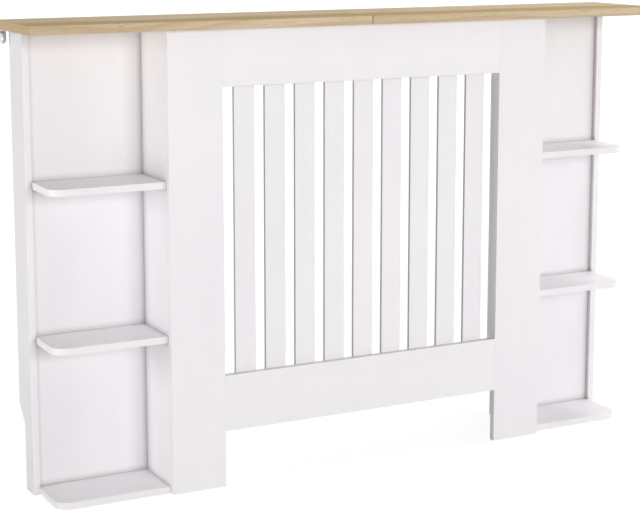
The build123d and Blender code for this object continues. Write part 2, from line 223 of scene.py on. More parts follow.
def looks_along(tree, axis, most=1.0):
    """The value most where the surface looks along the axis, either way, and 0 where it doesn't."""
    normal = add(tree, "ShaderNodeNewGeometry").outputs["Normal"]
    facing = add(tree, "ShaderNodeSeparateXYZ", {0: normal}).outputs[axis]
    return ramp(tree, math_node(tree, "ABSOLUTE", facing), LOOKS_FROM, LOOKS_TO, 0.0, most)


def set_finish(tree, shader, colour, roughness, height, depth):
    """Gives the surface its colour, its roughness and a relief of that depth."""
    relief = add(tree, "ShaderNodeBump", {"Height": height, "Distance": depth})
    tree.links.new(colour, shader.inputs["Base Color"])
    tree.links.new(roughness, shader.inputs["Roughness"])
    tree.links.new(relief.outputs[0], shader.inputs["Normal"])


def white_paint(name, turn=(0.0, 0.0, 0.0), thin_coat_and_shade=0.0, edge_axis="X", within=1.0, shaded=0.0):
    """Satin white paint whose roller lanes run along Z, or along the way that turn brings to Z.
    The share for the thin coat and shade is how far a raw-board grey shows on the faces that look
    along the given axis and lie within that distance of the middle: partly the thin coat on sawn
    edges, partly painted shade on sides that the light doesn't reach.  The share shaded is how far
    the inside corners are greyed with painted shade."""
    material, tree, shader = surface(name)
    place = object_position(tree)
    position = add(tree, "ShaderNodeMapping", {"Vector": place, "Rotation": turn})
    inputs = {"Position": position.outputs[0], "Paint": PAINT, "Drifted": PAINT_DRIFTED,
              "Peel": PEEL_PER_METRE}
    paint = add(tree, "ShaderNodeGroup", inputs, node_tree=film).outputs
    worn = add(tree, "ShaderNodeGroup", {"Reach": EDGE_REACH}, node_tree=edge).outputs["Edge"]
    share = math_node(tree, "MULTIPLY", worn, EDGE_SHOWS)
    coated = blended(tree, share, paint["Colour"], THIN_PAINT)
    # Painted shade, partly a thin coat: a raw-board grey on the faces that look along the axis.
    aside = add(tree, "ShaderNodeSeparateXYZ", {0: place}).outputs["X"]
    near = math_node(tree, "LESS_THAN", math_node(tree, "ABSOLUTE", aside), within)
    thin_and_shaded = math_node(tree, "MULTIPLY", looks_along(tree, edge_axis, thin_coat_and_shade), near)
    colour = blended(tree, thin_and_shaded, coated, RAW_BOARD_AND_SIDE_SHADE)
    # Painted shade: the inside corners are greyed by how closed off they are.
    if shaded:
        inputs = {"Position": place, "Reach": CORNER_SHADE_REACH}
        deep = add(tree, "ShaderNodeGroup", inputs, node_tree=corner).outputs[0]
        share = math_node(tree, "MULTIPLY", deep, shaded, clamp=True)
        colour = blended(tree, share, colour, PAINTED_CORNER_SHADE)
    set_finish(tree, shader, colour, paint["Roughness"], paint["Height"], PEEL_HEIGHT)
    return material


def dress(material, *nodes):
    """Gives CAD nodes one material."""
    for name in nodes:
        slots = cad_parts[name].data.materials
        slots.clear()
        slots.append(material)


LANES_ALONG_X = (0.0, math.radians(90), 0.0)
OPENING_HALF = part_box("stile_right")[0][0]
ARRIS = 0.4 * mm
# The stiles' edges round the opening are greyed: partly a thin coat, partly painted shade.
STILE_EDGES_THIN_AND_SHADED = 0.2
stile_paint = white_paint("paint_on_stiles", thin_coat_and_shade=STILE_EDGES_THIN_AND_SHADED, within=OPENING_HALF + ARRIS)
dress(stile_paint, "stile_left", "stile_right")
# The rails' upper and lower edges are greyed: partly a thin coat, partly painted shade.
RAIL_EDGES_THIN_AND_SHADED = 0.45
rail_paint = white_paint("paint_on_rails", LANES_ALONG_X, thin_coat_and_shade=RAIL_EDGES_THIN_AND_SHADED, edge_axis="Z")
dress(rail_paint, "top_rail", "lower_rail")


# ---- Slats -------------------------------------------------------------------------------------
# Nine strips of 6 mm board, lapped behind the rails and screwed to them from the back.  They are
# ripped from a sheet that is already painted.  Their long sawn edges are painted grey: partly the
# one thin coat of a ripped edge, partly painted shade where the neighbouring slats keep the light off.

slats = sorted(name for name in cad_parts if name.removeprefix("slat_").isdigit())
# The slats' long edges are greyed: partly a thin coat, partly painted shade between the slats.
SLAT_EDGES_THIN_AND_SHADED = 0.62
slat_paint = white_paint("paint_on_slats", thin_coat_and_shade=SLAT_EDGES_THIN_AND_SHADED)
dress(slat_paint, *slats)


def plated(name, colour, dull, roughness):
    """Zinc plating: faint spangles that change its tone and its gloss."""
    material, tree, shader = surface(name)
    inputs = {"Vector": object_position(tree), "Scale": SPANGLES_PER_METRE}
    cells = add(tree, "ShaderNodeTexVoronoi", inputs)
    patch = noise(tree, object_position(tree), PATCHES_PER_METRE, detail=3.0)
    share = math_node(tree, "MULTIPLY", cells.outputs["Color"], patch)
    tree.links.new(blended(tree, share, colour, dull), shader.inputs["Base Color"])
    rough = ramp(tree, patch, *GLOSS_SPAN, roughness - PATCH_GLOSSIER, roughness + PATCH_DULLER)
    tree.links.new(rough, shader.inputs["Roughness"])
    shader.inputs["Metallic"].default_value = 1.0
    return material


SPANGLES_PER_METRE = 900.0
PATCHES_PER_METRE = 160.0
GLOSS_SPAN = (0.3, 0.7)
PATCH_GLOSSIER = 0.06
PATCH_DULLER = 0.08


def band(rows, columns):
    """The quads between the rings of a closed surface, ring after ring."""
    index = np.arange(rows * columns).reshape(rows, columns)
    after = np.roll(index, -1, axis=1)
    return np.stack([index[:-1], after[:-1], after[1:], index[1:]], -1).reshape(-1, 4)


def piece(name, points, faces, material, slot, *nodes):
    """A piece in its place that stands for CAD nodes; its poles and seams are welded."""
    mesh = bpy.data.meshes.new(name)
    corners = faces.shape[-1]
    mesh.from_pydata(points.reshape(-1, 3).tolist(), [], faces.reshape(-1, corners).tolist())
    work = bmesh.new()
    work.from_mesh(mesh)
    bmesh.ops.remove_doubles(work, verts=work.verts, dist=WELD)
    bmesh.ops.recalc_face_normals(work, faces=work.faces)
    work.to_mesh(mesh)
    work.free()
    mesh.materials.append(material)
    made = bpy.data.objects.new(name, mesh)
    scene.collection.objects.link(made)
    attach(made, "root")
    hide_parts(*nodes)
    return made


WELD = 0.0001 * mm
SLOT_HALF = 0.24
SLOT_ARM = 0.62
SLOT_DEEP = 0.5
SLOT_FLOOR = 0.6
HEAD_RINGS = 5
HEAD_LIP = 0.06
ROWS_PER_TURN = 4
PITCH = 0.85
CORE = 0.70
POINT = 2.2
NECK = 0.2
LEAST = 1e-6
GOLDEN_ANGLE = math.radians(137.5)


def cross_screw(shank, head, length, dome=0.0):
    """A wood screw on the Z axis, from the radii of its shank and head and its length.  It is
    driven into a face at 0 and its point is at -length; without a dome its head is countersunk,
    flush with that face.
    Every row is a ring r(angle), z.  The rim of the recess is the outline of a cross,
    r = min(arm / max(|cos|, |sin|), half / min(|cos|, |sin|)); the crown is an ellipse
    z = dome * sqrt(1 - (r / head)^2); the thread is a helix,
    r = core + (shank - core) * triangle(z / pitch + angle / 2 pi), narrowed to a point."""
    arm_end = math.atan2(SLOT_HALF, SLOT_ARM)
    middle = (arm_end + math.pi / 4) / 2
    eighth = np.array([0.0, arm_end, middle, math.pi / 4])
    quarter = np.concatenate([eighth, math.pi / 2 - eighth[2:0:-1]])
    angle = (quarter + np.arange(4)[:, None] * math.pi / 2).ravel()
    wide = np.maximum(abs(np.cos(angle)), abs(np.sin(angle)))
    narrow = np.maximum(np.minimum(abs(np.cos(angle)), abs(np.sin(angle))), LEAST)
    rim = np.minimum(SLOT_ARM / wide, SLOT_HALF / narrow) * head

    outward = np.linspace(0, 1, HEAD_RINGS)[:, None]
    face_r = rim + (head * (1 - HEAD_LIP) - rim) * outward
    face_z = dome * np.sqrt(1 - (face_r / head) ** 2)
    bottom = face_z[:1] * 0 + dome - SLOT_DEEP * head
    ring = np.ones_like(angle)
    seat = -(head - shank) if dome == 0 else 0.0
    lip = -HEAD_LIP * head if dome == 0 else 0.0

    pitch = PITCH * shank
    turns = (length + seat - NECK * shank) / pitch
    z = np.linspace(seat - NECK * shank, -length, round(turns * ROWS_PER_TURN))[:, None]
    phase = (z / pitch + angle / (2 * math.pi)) % 1
    crest = 1 - abs(2 * phase - 1)
    taper = np.minimum((z + length) / (POINT * shank), 1)
    thread_r = shank * (CORE + (1 - CORE) * crest) * taper

    rows_r = np.concatenate([0 * ring[None], SLOT_FLOOR * rim[None], face_r, head * ring[None],
                             shank * CORE * ring[None], thread_r])
    rows_z = np.concatenate([bottom, bottom, face_z, lip * ring[None], seat * ring[None],
                             z + 0 * angle])
    points = np.stack([rows_r * np.cos(angle), rows_r * np.sin(angle), rows_z], -1)
    return points.reshape(-1, 3), band(len(rows_r), len(angle))


def driven(shape, places, outward):
    """Copies of a screw driven in at the places with their heads looking outward, each turned on
    by a golden angle from the last, as a hand leaves them."""
    points, faces = shape
    places = np.array(places, float)
    outward = np.array(outward, float)
    across = np.roll(outward, 1)
    beyond = np.cross(outward, across)
    turn = GOLDEN_ANGLE * np.arange(len(places))[:, None]
    x = np.cos(turn) * points[:, 0] - np.sin(turn) * points[:, 1]
    y = np.sin(turn) * points[:, 0] + np.cos(turn) * points[:, 1]
    placed = places[:, None] + x[..., None] * across + y[..., None] * beyond
    placed = placed + points[:, 2][None, :, None] * outward
    copies = faces[None] + len(points) * np.arange(len(places))[:, None, None]
    return placed.reshape(-1, 3), copies.reshape(-1, faces.shape[-1])


def together(*groups):
    """Several groups of points and faces as one, the faces counted on from group to group."""
    starts = np.cumsum([0] + [len(points) for points, _ in groups])
    faces = [faces + start for (_, faces), start in zip(groups, starts)]
    return np.concatenate([points for points, _ in groups]), np.concatenate(faces)


def screws(name, material, *groups):
    """The screws of one CAD node, from groups of copies."""
    made = piece(name + "_crossed", *together(*groups), material, "screw_steel", name)
    made.data.shade_smooth()
    made.data.set_sharp_from_angle(angle=SHARP_FROM)


SHARP_FROM = math.radians(35)
SLAT_SCREW = (1.5 * mm, 3 * mm, 14 * mm)
SLAT_SCREW_INSET = 12.5 * mm
SCREW_BRIGHT = shade(208, 205, 196)
SCREW_DULL = shade(178, 176, 168)
SCREW_ROUGH = 0.28
screw_steel = plated("screw_plate", SCREW_BRIGHT, SCREW_DULL, SCREW_ROUGH)
slat_boxes = [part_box(name) for name in slats]
slat_foot, slat_head = slat_boxes[0][0][2], slat_boxes[0][1][2]
slat_ends = (slat_foot + SLAT_SCREW_INSET, slat_head - SLAT_SCREW_INSET)
slat_fixings = [((low[0] + high[0]) / 2, high[1], z) for low, high in slat_boxes for z in slat_ends]
screws("slat_screws", screw_steel, driven(cross_screw(*SLAT_SCREW), slat_fixings, (0, 1, 0)))


# ---- Battens -----------------------------------------------------------------------------------
# Square softwood, painted white.  An upright screwed behind each stile stiffens the edge of the
# opening, and a cleat along the top rail holds the top to the frame.  The grain stands up through
# the paint.

def wood_figure():
    """Shared effect: sawn wood.  The growth rings are tubes round the X axis, wandering a little;
    the fibres and the pores are noise drawn out along X."""
    takes = {"Position": "Vector", "Ring": "Float", "Wander": "Float", "Patches": "Float"}
    gives = {"Late": "Float", "Fibre": "Float", "Pores": "Float", "Patch": "Float"}
    tree, taken, given = effect("wood figure", takes, gives)
    position = taken["Position"]
    inputs = {"Vector": scaled(tree, position, WANDER_STRETCH), "Scale": WANDERS_PER_METRE,
              "Detail": 2.0}
    slow = add(tree, "ShaderNodeTexNoise", inputs)
    lean = add(tree, "ShaderNodeVectorMath", {0: slow.outputs["Color"], 1: (0.5, 0.5, 0.5)},
               operation="SUBTRACT").outputs[0]
    push = add(tree, "ShaderNodeVectorMath", {0: lean, "Scale": taken["Wander"]},
               operation="SCALE").outputs[0]
    moved = add(tree, "ShaderNodeVectorMath", {0: position, 1: push}, operation="ADD").outputs[0]
    radius = add(tree, "ShaderNodeVectorMath", {0: scaled(tree, moved, (0.0, 1.0, 1.0))},
                 operation="LENGTH").outputs["Value"]
    ring = math_node(tree, "FRACT", math_node(tree, "DIVIDE", radius, taken["Ring"]))
    late = math_node(tree, "MULTIPLY", ramp(tree, ring, *RING_DARKENS), ramp(tree, ring, *RING_ENDS))
    drawn_out = scaled(tree, position, FIBRE_STRETCH)
    fibre = noise(tree, drawn_out, FIBRES_PER_METRE, detail=4.0, roughness=0.6)
    pores = noise(tree, scaled(tree, position, PORE_STRETCH), PORES_PER_METRE, detail=1.0)
    early = ramp(tree, ring, *EARLY_WOOD, 1.0, LATE_PORES)
    holes = math_node(tree, "MULTIPLY", ramp(tree, pores, *PORE_EDGE), early)
    patch = noise(tree, scaled(tree, position, PATCH_STRETCH), taken["Patches"])
    give(tree, given, Late=late, Fibre=fibre, Pores=holes, Patch=patch)
    return tree


WANDERS_PER_METRE = 1.6
WANDER_STRETCH = (1.0, 5.0, 5.0)
RING_DARKENS = (0.2, 0.86)
RING_ENDS = (1.0, 0.9)
FIBRES_PER_METRE = 420.0
FIBRE_STRETCH = (0.02, 1.0, 1.0)
PORES_PER_METRE = 1300.0
PORE_STRETCH = (0.045, 1.0, 1.0)
PORE_EDGE = (0.60, 0.70)
EARLY_WOOD = (0.0, 0.6)
LATE_PORES = 0.35
PATCH_STRETCH = (1.0, 7.0, 7.0)
wood = wood_figure()
GRAIN_SHOWS = 0.35
GRAIN_HEIGHT = 0.08 * mm
RINGS_STAND_UP = 0.6
FIBRES_STAND_UP = 0.4
SOFTWOOD_RING = 2.6 * mm
SOFTWOOD_PITH = 0.045
SOFTWOOD_WANDER = 0.01
SOFTWOOD_PATCHES = 6.0


def painted_softwood(name, turn):
    """White paint on softwood, whose grain runs along X, or along the way that turn brings to X."""
    material, tree, shader = surface(name)
    inputs = {"Vector": object_position(tree), "Rotation": turn}
    along = add(tree, "ShaderNodeMapping", inputs).outputs[0]
    inputs = {"Vector": along, "Location": (0.0, SOFTWOOD_PITH, SOFTWOOD_PITH)}
    position = add(tree, "ShaderNodeMapping", inputs).outputs[0]
    inputs = {"Position": position, "Ring": SOFTWOOD_RING, "Wander": SOFTWOOD_WANDER,
              "Patches": SOFTWOOD_PATCHES}
    figure = add(tree, "ShaderNodeGroup", inputs, node_tree=wood).outputs
    inputs = {"Position": along, "Paint": PAINT, "Drifted": PAINT_DRIFTED, "Peel": PEEL_PER_METRE}
    paint = add(tree, "ShaderNodeGroup", inputs, node_tree=film).outputs
    grain = weighed(tree, figure["Late"], RINGS_STAND_UP, figure["Fibre"], FIBRES_STAND_UP)
    share = math_node(tree, "MULTIPLY", grain, GRAIN_SHOWS)
    colour = blended(tree, share, paint["Colour"], THIN_PAINT)
    set_finish(tree, shader, colour, paint["Roughness"], grain, GRAIN_HEIGHT)
    return material


GRAIN_UP = (0.0, math.radians(90), 0.0)
GRAIN_ALONG_X = (0.0, 0.0, 0.0)
dress(painted_softwood("paint_on_upright_battens", GRAIN_UP),
      "upright_batten_left", "upright_batten_right")
dress(painted_softwood("paint_on_cleat", GRAIN_ALONG_X), "top_cleat")


def both_ways(*distances):
    """Distances from the middle taken to the left and to the right, in order from the left."""
    return sorted([-distance for distance in distances] + list(distances))


cleat_low, cleat_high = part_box("top_cleat")
batten_low, batten_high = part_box("upright_batten_right")
BATTEN_SCREW = (1.75 * mm, 3.5 * mm, 25 * mm)
batten_screw = cross_screw(*BATTEN_SCREW)
batten_x = (batten_low[0] + batten_high[0]) / 2
batten_z = (batten_low[2] + batten_high[2]) / 2
UPRIGHT_SCREW_PITCH = 220 * mm
upright_fixings = [(x, batten_high[1], batten_z + step * UPRIGHT_SCREW_PITCH)
                   for x in both_ways(batten_x) for step in (-1, 0, 1)]
CLEAT_SCREW_INSET = 60 * mm
CLEAT_SCREW_OFFSET = 40 * mm
up_x = (CLEAT_SCREW_INSET, cleat_high[0] - CLEAT_SCREW_INSET)
forward_x = [x - CLEAT_SCREW_OFFSET for x in up_x]
cleat_y = (cleat_low[1] + cleat_high[1]) / 2
cleat_z = (cleat_low[2] + cleat_high[2]) / 2
upward_fixings = [(x, cleat_y, cleat_low[2]) for x in both_ways(*up_x)]
forward_fixings = [(x, cleat_high[1], cleat_z) for x in both_ways(*forward_x)]
screws("batten_screws", screw_steel,
       driven(batten_screw, upright_fixings + forward_fixings, (0, 1, 0)),
       driven(batten_screw, upward_fixings, (0, 0, -1)))


# ---- Sides, bay panels and shelves -------------------------------------------------------------
# The same 12 mm painted board.  Each bay is a shallow outer side, a back panel and three shelves.
# Dowels join them, and screws driven from behind or from the radiator's side, where none shows.

SHELVES = (1, 2, 3)
# Painted shade: the bays' inside corners are greyed, and the outer sides' corners more so.
CORNERS_SHADED = 0.8
REBATES_SHADED = 1.3
# Painted shade: the outer sides' faces that look along X are greyed all over.
OUTER_SIDE_FACES_SHADED = 0.16
bay_paint = white_paint("paint_in_bays", shaded=CORNERS_SHADED)
outer_paint = white_paint("paint_on_outer_sides", thin_coat_and_shade=OUTER_SIDE_FACES_SHADED, shaded=REBATES_SHADED)
shelf_paint = white_paint("paint_on_shelves", LANES_ALONG_X, shaded=CORNERS_SHADED)
for side in ("left", "right"):
    dress(bay_paint, f"inner_side_{side}", f"bay_panel_{side}")
    dress(outer_paint, f"outer_side_{side}")
    dress(shelf_paint, *(f"shelf_{number}_{side}" for number in SHELVES))

BOARD_SCREW = (2 * mm, 4 * mm, 40 * mm)
board_screw = cross_screw(*BOARD_SCREW)
panel_low, panel_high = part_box("bay_panel_right")
panel_y = (panel_low[1] + panel_high[1]) / 2
inner_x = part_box("inner_side_right")[0][0]
PANEL_SCREWS = 4
panel_z = panel_high[2] * (np.arange(PANEL_SCREWS) + 0.5) / PANEL_SCREWS
screws("panel_screws", screw_steel,
       driven(board_screw, [(inner_x, panel_y, z) for z in panel_z], (-1, 0, 0)),
       driven(board_screw, [(-inner_x, panel_y, z) for z in panel_z], (1, 0, 0)))

SHELF_SCREW_INSET = 50 * mm
shelf_boxes = [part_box(f"shelf_{number}_right") for number in SHELVES]
shelf_x = (shelf_boxes[0][0][0] + SHELF_SCREW_INSET, shelf_boxes[0][1][0] - SHELF_SCREW_INSET)
shelf_middles = [(low[2] + high[2]) / 2 for low, high in shelf_boxes]
shelf_fixings = [(x, panel_high[1], z) for x in both_ways(*shelf_x) for z in shelf_middles]
screws("shelf_screws", screw_steel, driven(board_screw, shelf_fixings, (0, 1, 0)))


# ---- Top ---------------------------------------------------------------------------------------
# Two 15 mm boards faced and edged with oak, the grain along their length, butted in the middle.
# Dowels place them on the frame and the sides, and cams and the cleat's screws hold them down.

OAK_PALE = shade(224, 206, 177)
OAK_SAP = shade(230, 214, 186)
OAK_GOLD = shade(204, 184, 152)
OAK_LATE = shade(184, 158, 120)
OAK_AMBER = shade(196, 172, 127)
OAK_PORE = shade(126, 101, 70)
OAK_GLOSS = 0.02
OAK_ROUGH = (0.70, 0.84)
ROUGH_SPAN = (0.2, 0.8)
OAK_RING = 9.0 * mm
OAK_WANDER = 0.05
OAK_PATCHES = 2.6
OAK_PORE_DEPTH = 0.06 * mm
FIBRES_RISE = 0.3
PITH_BELOW = 0.75
PITH_ASIDE = 0.012
LEAN = math.radians(1.6)
DARK_END = 0.24
END_DARK = 0.8
DARK_FRONT = 0.08
FRONT_WAVES = 0.06
FRONT_FADES = 1.6
LIPPING_DARK = 0.55
PALE_BACK = 0.6
FACE_STARTS = 1.5 * mm
FACE_FULL = 0.5 * mm
PATCH_SPAN = (0.42, 0.62)
PATCHES_SHOW = (0.2, 0.7)
RINGS_SHOW = 0.45
FIBRE_SPAN = (0.3, 0.7)
FIBRES_SHOW = 0.22
PORES_SHOW = 0.55
# The dark line at the joint: partly glue, partly painted shade of the gap between the boards.
JOINT_LINE = 1.1 * mm
JOINT_SHOWS = 0.9


def oak(name, board, shift):
    """Oak facing.  The pith lies below the board and leans along it, which draws out the figure;
    shift picks the stretch of wood that the board is cut from.  On the ends the grain of the edging
    runs along Y.  The left end is a darker stave and so is the front of the top, a little less
    towards its lipping.  The back of the top is a paler stave.  The dark line at the joint is partly
    glue and partly painted shade of the gap between the boards."""
    material, tree, shader = surface(name)
    place = object_position(tree)
    axes = add(tree, "ShaderNodeSeparateXYZ", {0: place}).outputs
    banding = add(tree, "ShaderNodeCombineXYZ", {0: axes["Y"], 1: axes["X"], 2: axes["Z"]})
    inputs = {0: looks_along(tree, "X"), 4: place, 5: banding.outputs[0]}
    grained = add(tree, "ShaderNodeMix", inputs, data_type="VECTOR").outputs[1]
    inputs = {"Vector": grained, "Location": (shift, PITH_ASIDE, -PITH_BELOW),
              "Rotation": (0.0, LEAN, LEAN / 3)}
    position = add(tree, "ShaderNodeMapping", inputs).outputs[0]
    inputs = {"Position": position, "Ring": OAK_RING, "Wander": OAK_WANDER, "Patches": OAK_PATCHES}
    figure = add(tree, "ShaderNodeGroup", inputs, node_tree=wood).outputs

    low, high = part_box(board)
    end = ramp(tree, axes["X"], low[0] + DARK_END / 3, low[0] + DARK_END, END_DARK, 0.0)
    waves = math_node(tree, "MULTIPLY", figure["Patch"], FRONT_WAVES)
    wavy = math_node(tree, "ADD", axes["Y"], waves)
    front = ramp(tree, wavy, low[1] + DARK_FRONT, low[1] + DARK_FRONT * FRONT_FADES, 1.0, 0.0)
    inward = ramp(tree, axes["Y"], low[1], low[1] + DARK_FRONT / 2, LIPPING_DARK, 1.0)
    on_top = ramp(tree, axes["Z"], high[2] - FACE_STARTS, high[2] - FACE_FULL)
    front_stave = math_node(tree, "MULTIPLY", front, on_top)
    patch = ramp(tree, figure["Patch"], *PATCH_SPAN, *PATCHES_SHOW)
    golden = math_node(tree, "MAXIMUM", patch, math_node(tree, "MAXIMUM", end, front_stave))
    ground = blended(tree, golden, OAK_PALE, OAK_GOLD)
    darker = math_node(tree, "MULTIPLY", front_stave, inward)
    ground = blended(tree, darker, ground, OAK_AMBER)
    behind = math_node(tree, "SUBTRACT", on_top, front, clamp=True)
    ground = blended(tree, math_node(tree, "MULTIPLY", behind, PALE_BACK), ground, OAK_SAP)

    late = math_node(tree, "MULTIPLY", figure["Late"], RINGS_SHOW)
    ringed = blended(tree, late, ground, OAK_LATE)
    fibre = ramp(tree, figure["Fibre"], *FIBRE_SPAN, 0.0, FIBRES_SHOW)
    fibred = blended(tree, fibre, ringed, OAK_LATE)
    pores = math_node(tree, "MULTIPLY", figure["Pores"], PORES_SHOW)
    pored = blended(tree, pores, fibred, OAK_PORE)
    from_joint = math_node(tree, "ABSOLUTE", axes["X"])
    joint = ramp(tree, from_joint, JOINT_LINE, JOINT_LINE / 2, 0.0, JOINT_SHOWS)
    colour = blended(tree, joint, pored, OAK_PORE)

    roughness = ramp(tree, figure["Fibre"], *ROUGH_SPAN, *OAK_ROUGH)
    fibres = math_node(tree, "MULTIPLY", figure["Fibre"], FIBRES_RISE)
    height = math_node(tree, "SUBTRACT", fibres, figure["Pores"])
    set_finish(tree, shader, colour, roughness, height, OAK_PORE_DEPTH)
    shader.inputs["Specular IOR Level"].default_value = OAK_GLOSS
    return material


WOOD_APART = 1.7
dress(oak("oak_left", "top_board_left", 0.0), "top_board_left")
dress(oak("oak_right", "top_board_right", WOOD_APART), "top_board_right")


# ---- Metal fittings ----------------------------------------------------------------------------
# Zinc-plated steel plate, brackets and screws, and die-cast cams.  The plate joins the two boards
# of the top from below.  The brackets are bent from 2 mm sheet with a rib pressed into the leg,
# and are screwed to the top.

ZINC_BRIGHT = shade(212, 213, 215)
ZINC_DULL = shade(198, 199, 202)
ZINC_ROUGH = 0.60
CAST_BRIGHT = shade(186, 187, 190)
CAST_DULL = shade(150, 151, 155)
CAST_ROUGH = 0.45
steel = plated("zinc_plate", ZINC_BRIGHT, ZINC_DULL, ZINC_ROUGH)
cast_zinc = plated("cast_zinc", CAST_BRIGHT, CAST_DULL, CAST_ROUGH)
dress(steel, "joining_plate")


def pressed_bracket(side):
    """The middle surface of a bracket, as its points and faces.
    The leg is a fan of rays round the wall hole, from the hole out to the outline: a half circle
    below, straight edges above.  A rib stands out of it by depth * (1 - |x| / half width), rounded
    at the ridge and eased to nothing at the bend.  The flange is a strip carried round the bend
    and forward under the top, its front corners rounded by quarter circles."""
    low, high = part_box(f"wall_bracket_{side}")
    half = (high[0] - low[0]) / 2
    skin = BRACKET_THICK / 2
    wall = high[1] - skin
    bend_z = high[2] - BEND_OUTER

    to_corner = math.atan2(bend_z - WALL_HOLE_Z, half)
    over = np.linspace(to_corner, math.pi - to_corner, OVER_RAYS)
    round_under = np.linspace(math.pi - to_corner, 2 * math.pi + to_corner, UNDER_RAYS)[1:-1]
    angle = np.concatenate([over, round_under])
    cos, sin = np.cos(angle), np.sin(angle)
    lift = WALL_HOLE_Z - (low[2] + half)
    straight = np.minimum(half / np.maximum(abs(cos), LEAST_SLOPE),
                          (bend_z - WALL_HOLE_Z) / np.maximum(sin, LEAST_SLOPE))
    curved = np.sqrt(half ** 2 - (lift * cos) ** 2) - lift * sin
    outline = np.where(lift + curved * sin > 0, straight, curved)
    share = np.linspace(0, 1, LEG_RINGS)[:, None]
    reach = WALL_HOLE_RADIUS + (outline - WALL_HOLE_RADIUS) * share
    x, z = reach * cos, WALL_HOLE_Z + reach * sin
    rise = np.clip((bend_z - z) / RIB_RUNS_IN, 0, 1)
    ridge = 1 + RIDGE_ROUND - np.sqrt((x / half) ** 2 + RIDGE_ROUND ** 2)
    y = wall - RIB_DEPTH * ridge * rise ** 2 * (3 - 2 * rise)
    leg = np.stack([x, y, z], -1)

    turn = np.linspace(0, math.pi / 2, BEND_ROWS)
    radius = BEND_OUTER - skin
    bend_y = high[1] - BEND_OUTER + radius * np.cos(turn)
    bend_height = bend_z + radius * np.sin(turn)
    corner_y = low[1] + END_ROUND - END_ROUND * np.sin(turn)
    narrow = 1 - END_ROUND * (1 - np.cos(turn)) / half
    path_y = np.concatenate([bend_y, corner_y])
    path_z = np.concatenate([bend_height, np.full(BEND_ROWS, high[2] - skin)])
    width = np.concatenate([np.ones(BEND_ROWS), narrow])[:, None]
    across = leg[-1, :OVER_RAYS, 0] * width
    strip = np.stack([across, path_y[:, None] + 0 * across, path_z[:, None] + 0 * across], -1)

    points = np.concatenate([leg.reshape(-1, 3), strip.reshape(-1, 3)])
    points[:, 0] += (low[0] + high[0]) / 2
    leg_points = leg.shape[0] * leg.shape[1]
    index = leg_points + np.arange(strip.shape[0] * OVER_RAYS).reshape(-1, OVER_RAYS)
    quads = np.stack([index[:-1, :-1], index[:-1, 1:], index[1:, 1:], index[1:, :-1]], -1)
    return points, np.concatenate([band(LEG_RINGS, len(angle)), quads.reshape(-1, 4)])


BRACKET_THICK = 2 * mm
BEND_OUTER = 4 * mm
WALL_HOLE_Z = 777.5 * mm
WALL_HOLE_RADIUS = 2.5 * mm
RIB_DEPTH = 4.5 * mm
RIB_RUNS_IN = 5 * mm
RIDGE_ROUND = 0.08
END_ROUND = 3 * mm
OVER_RAYS = 17
UNDER_RAYS = 49
LEG_RINGS = 9
BEND_ROWS = 9
LEAST_SLOPE = 1e-9
SHEET_ARRIS = 0.3 * mm
for side in ("left", "right"):
    bracket = piece(f"ribbed_bracket_{side}", *pressed_bracket(side), steel, "plated_steel",
                    f"wall_bracket_{side}")
    bracket.data.shade_smooth()
    sheet = bracket.modifiers.new("sheet", "SOLIDIFY")
    sheet.thickness = BRACKET_THICK
    sheet.offset = 0.0
    arris = bracket.modifiers.new("arris", "BEVEL")
    arris.width = SHEET_ARRIS
    arris.segments = 2
dress(cast_zinc, "cams", "cam_bolts")

plate_low, plate_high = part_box("joining_plate")
bracket_low, bracket_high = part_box("wall_bracket_right")
PLATE_SCREW_INSET = 15 * mm
FLANGE_HOLE_EDGE = 8 * mm
TOP_SCREW = (2 * mm, 4 * mm, 13 * mm, 2 * mm)
plate_x = both_ways(plate_high[0] - PLATE_SCREW_INSET)
plate_y = (plate_low[1] + PLATE_SCREW_INSET, plate_high[1] - PLATE_SCREW_INSET)
bracket_x = both_ways((bracket_low[0] + bracket_high[0]) / 2)
bracket_y = bracket_low[1] + FLANGE_HOLE_EDGE
plate_fixings = [(x, y, plate_low[2]) for x in plate_x for y in plate_y]
bracket_fixings = [(x, bracket_y, plate_low[2]) for x in bracket_x]
screws("top_screws", screw_steel,
       driven(cross_screw(*TOP_SCREW), plate_fixings + bracket_fixings, (0, 0, -1)))


# ---- Dowels ------------------------------------------------------------------------------------
# Plain 6 mm beech pins with chamfered ends, glued in where two boards meet, the short end in one
# and the long end in the edge of the other.

BEECH = shade(214, 180, 140)
BEECH_LATE = shade(190, 150, 108)
BEECH_RING = 3 * mm
BEECH_WANDER = 0.01
BEECH_PATCHES = 20.0
BEECH_ROUGH = 0.7


def beech(name):
    """Raw beech with short fine flecks."""
    material, tree, shader = surface(name)
    inputs = {"Position": object_position(tree), "Ring": BEECH_RING, "Wander": BEECH_WANDER,
              "Patches": BEECH_PATCHES}
    figure = add(tree, "ShaderNodeGroup", inputs, node_tree=wood).outputs
    colour = blended(tree, ramp(tree, figure["Fibre"], *FIBRE_SPAN), BEECH, BEECH_LATE)
    tree.links.new(colour, shader.inputs["Base Color"])
    shader.inputs["Roughness"].default_value = BEECH_ROUGH
    return material


dress(beech("beech"), "rail_dowels", "stile_dowels", "bay_dowels", "shelf_dowels", "top_dowels")


# ---- Floor, light and camera -------------------------------------------------------------------
# A pale floor without an edge, a bright room and five soft lamps: a broad one in front, a high one
# on the right, a small one on the left, a low one behind for the upright backs, and a narrow one
# high up for the top, which keeps its light off most of what stands below.

